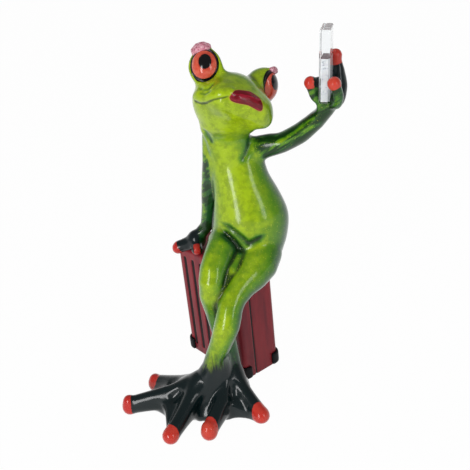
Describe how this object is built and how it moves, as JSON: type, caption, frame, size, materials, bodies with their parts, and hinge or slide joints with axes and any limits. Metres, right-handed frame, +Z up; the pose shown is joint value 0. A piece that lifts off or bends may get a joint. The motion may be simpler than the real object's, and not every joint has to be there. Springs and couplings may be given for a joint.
{
  "type": "frog figurine",
  "caption": "Glossy cast tree frog seated cross-legged on an upright travelling case, one hand on the case and the other holding up a clear phone.",
  "frame": {"origin": "centre of the case's flat underside", "axes": "+Z up; the frog faces -Y and its left hand, with the phone, is towards +X"},
  "size_m": [0.118, 0.0929, 0.1702],
  "materials": {
    "frog_lacquer": "cast resin, airbrushed lime to dark green, clear gloss lacquer",
    "eye_lacquer": "painted coral red with black pupil and rim, clear gloss lacquer",
    "clear_acrylic": "clear acrylic, frosted silver below",
    "case_paint": "cast resin, satin maroon paint with dark grooves",
    "base_board": "matt black",
    "guard_black": "satin black",
    "dowel_steel": "plain"
  },
  "bodies": {
    "root": {"torso": "frog_lacquer", "head": "frog_lacquer", "raised_arm": "frog_lacquer", "resting_arm": "frog_lacquer", "left_leg": "frog_lacquer", "right_leg": "frog_lacquer", "left_eye": "eye_lacquer", "right_eye": "eye_lacquer", "phone": "clear_acrylic", "case_shell": "case_paint", "case_base": "base_board", "case_guard_1": "guard_black", "case_guard_2": "guard_black", "case_guard_3": "guard_black", "case_guard_4": "guard_black", "neck_dowel": "dowel_steel", "raised_shoulder_dowel": "dowel_steel", "resting_shoulder_dowel": "dowel_steel", "left_hip_dowel": "dowel_steel", "right_hip_dowel": "dowel_steel"}
  },
  "joints": []
}
